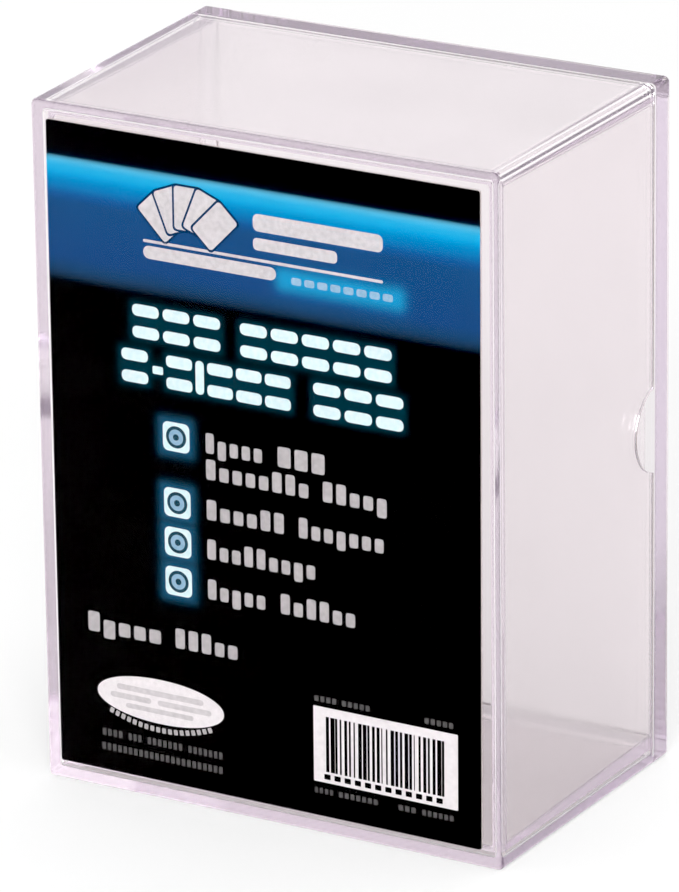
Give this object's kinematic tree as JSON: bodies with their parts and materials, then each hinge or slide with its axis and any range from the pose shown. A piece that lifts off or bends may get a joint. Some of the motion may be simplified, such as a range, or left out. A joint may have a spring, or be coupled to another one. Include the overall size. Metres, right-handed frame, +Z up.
{
  "type": "trading card storage box",
  "caption": "Clear two-piece card storage box: a front cover slides over a rear tray, with thumb notches in its side walls and a printed card behind its front wall.",
  "frame": {"origin": "middle of the base the box stands on, at the centre of its outside box", "axes": "+Z up along the long side, +X to the right, -Y out of the front face with the printed card, +Y out of the back plate"},
  "size_m": [0.0718, 0.046, 0.097],
  "materials": {
    "clear_cover": "clear moulded polystyrene with a faint violet tint, high gloss",
    "clear_tray": "clear moulded polystyrene with a faint violet tint, high gloss",
    "printed_card": "coated card, printed dark on its front, satin"
  },
  "bodies": {
    "cover": {"outer_cover": "clear_cover", "label_insert": "printed_card"},
    "tray": {"inner_tray": "clear_tray"}
  },
  "joints": [
    {"name": "tray_slide", "type": "slide", "parent": "cover", "child": "tray", "axis": [0, 1, 0], "range_m": [0, 0.1]}
  ]
}
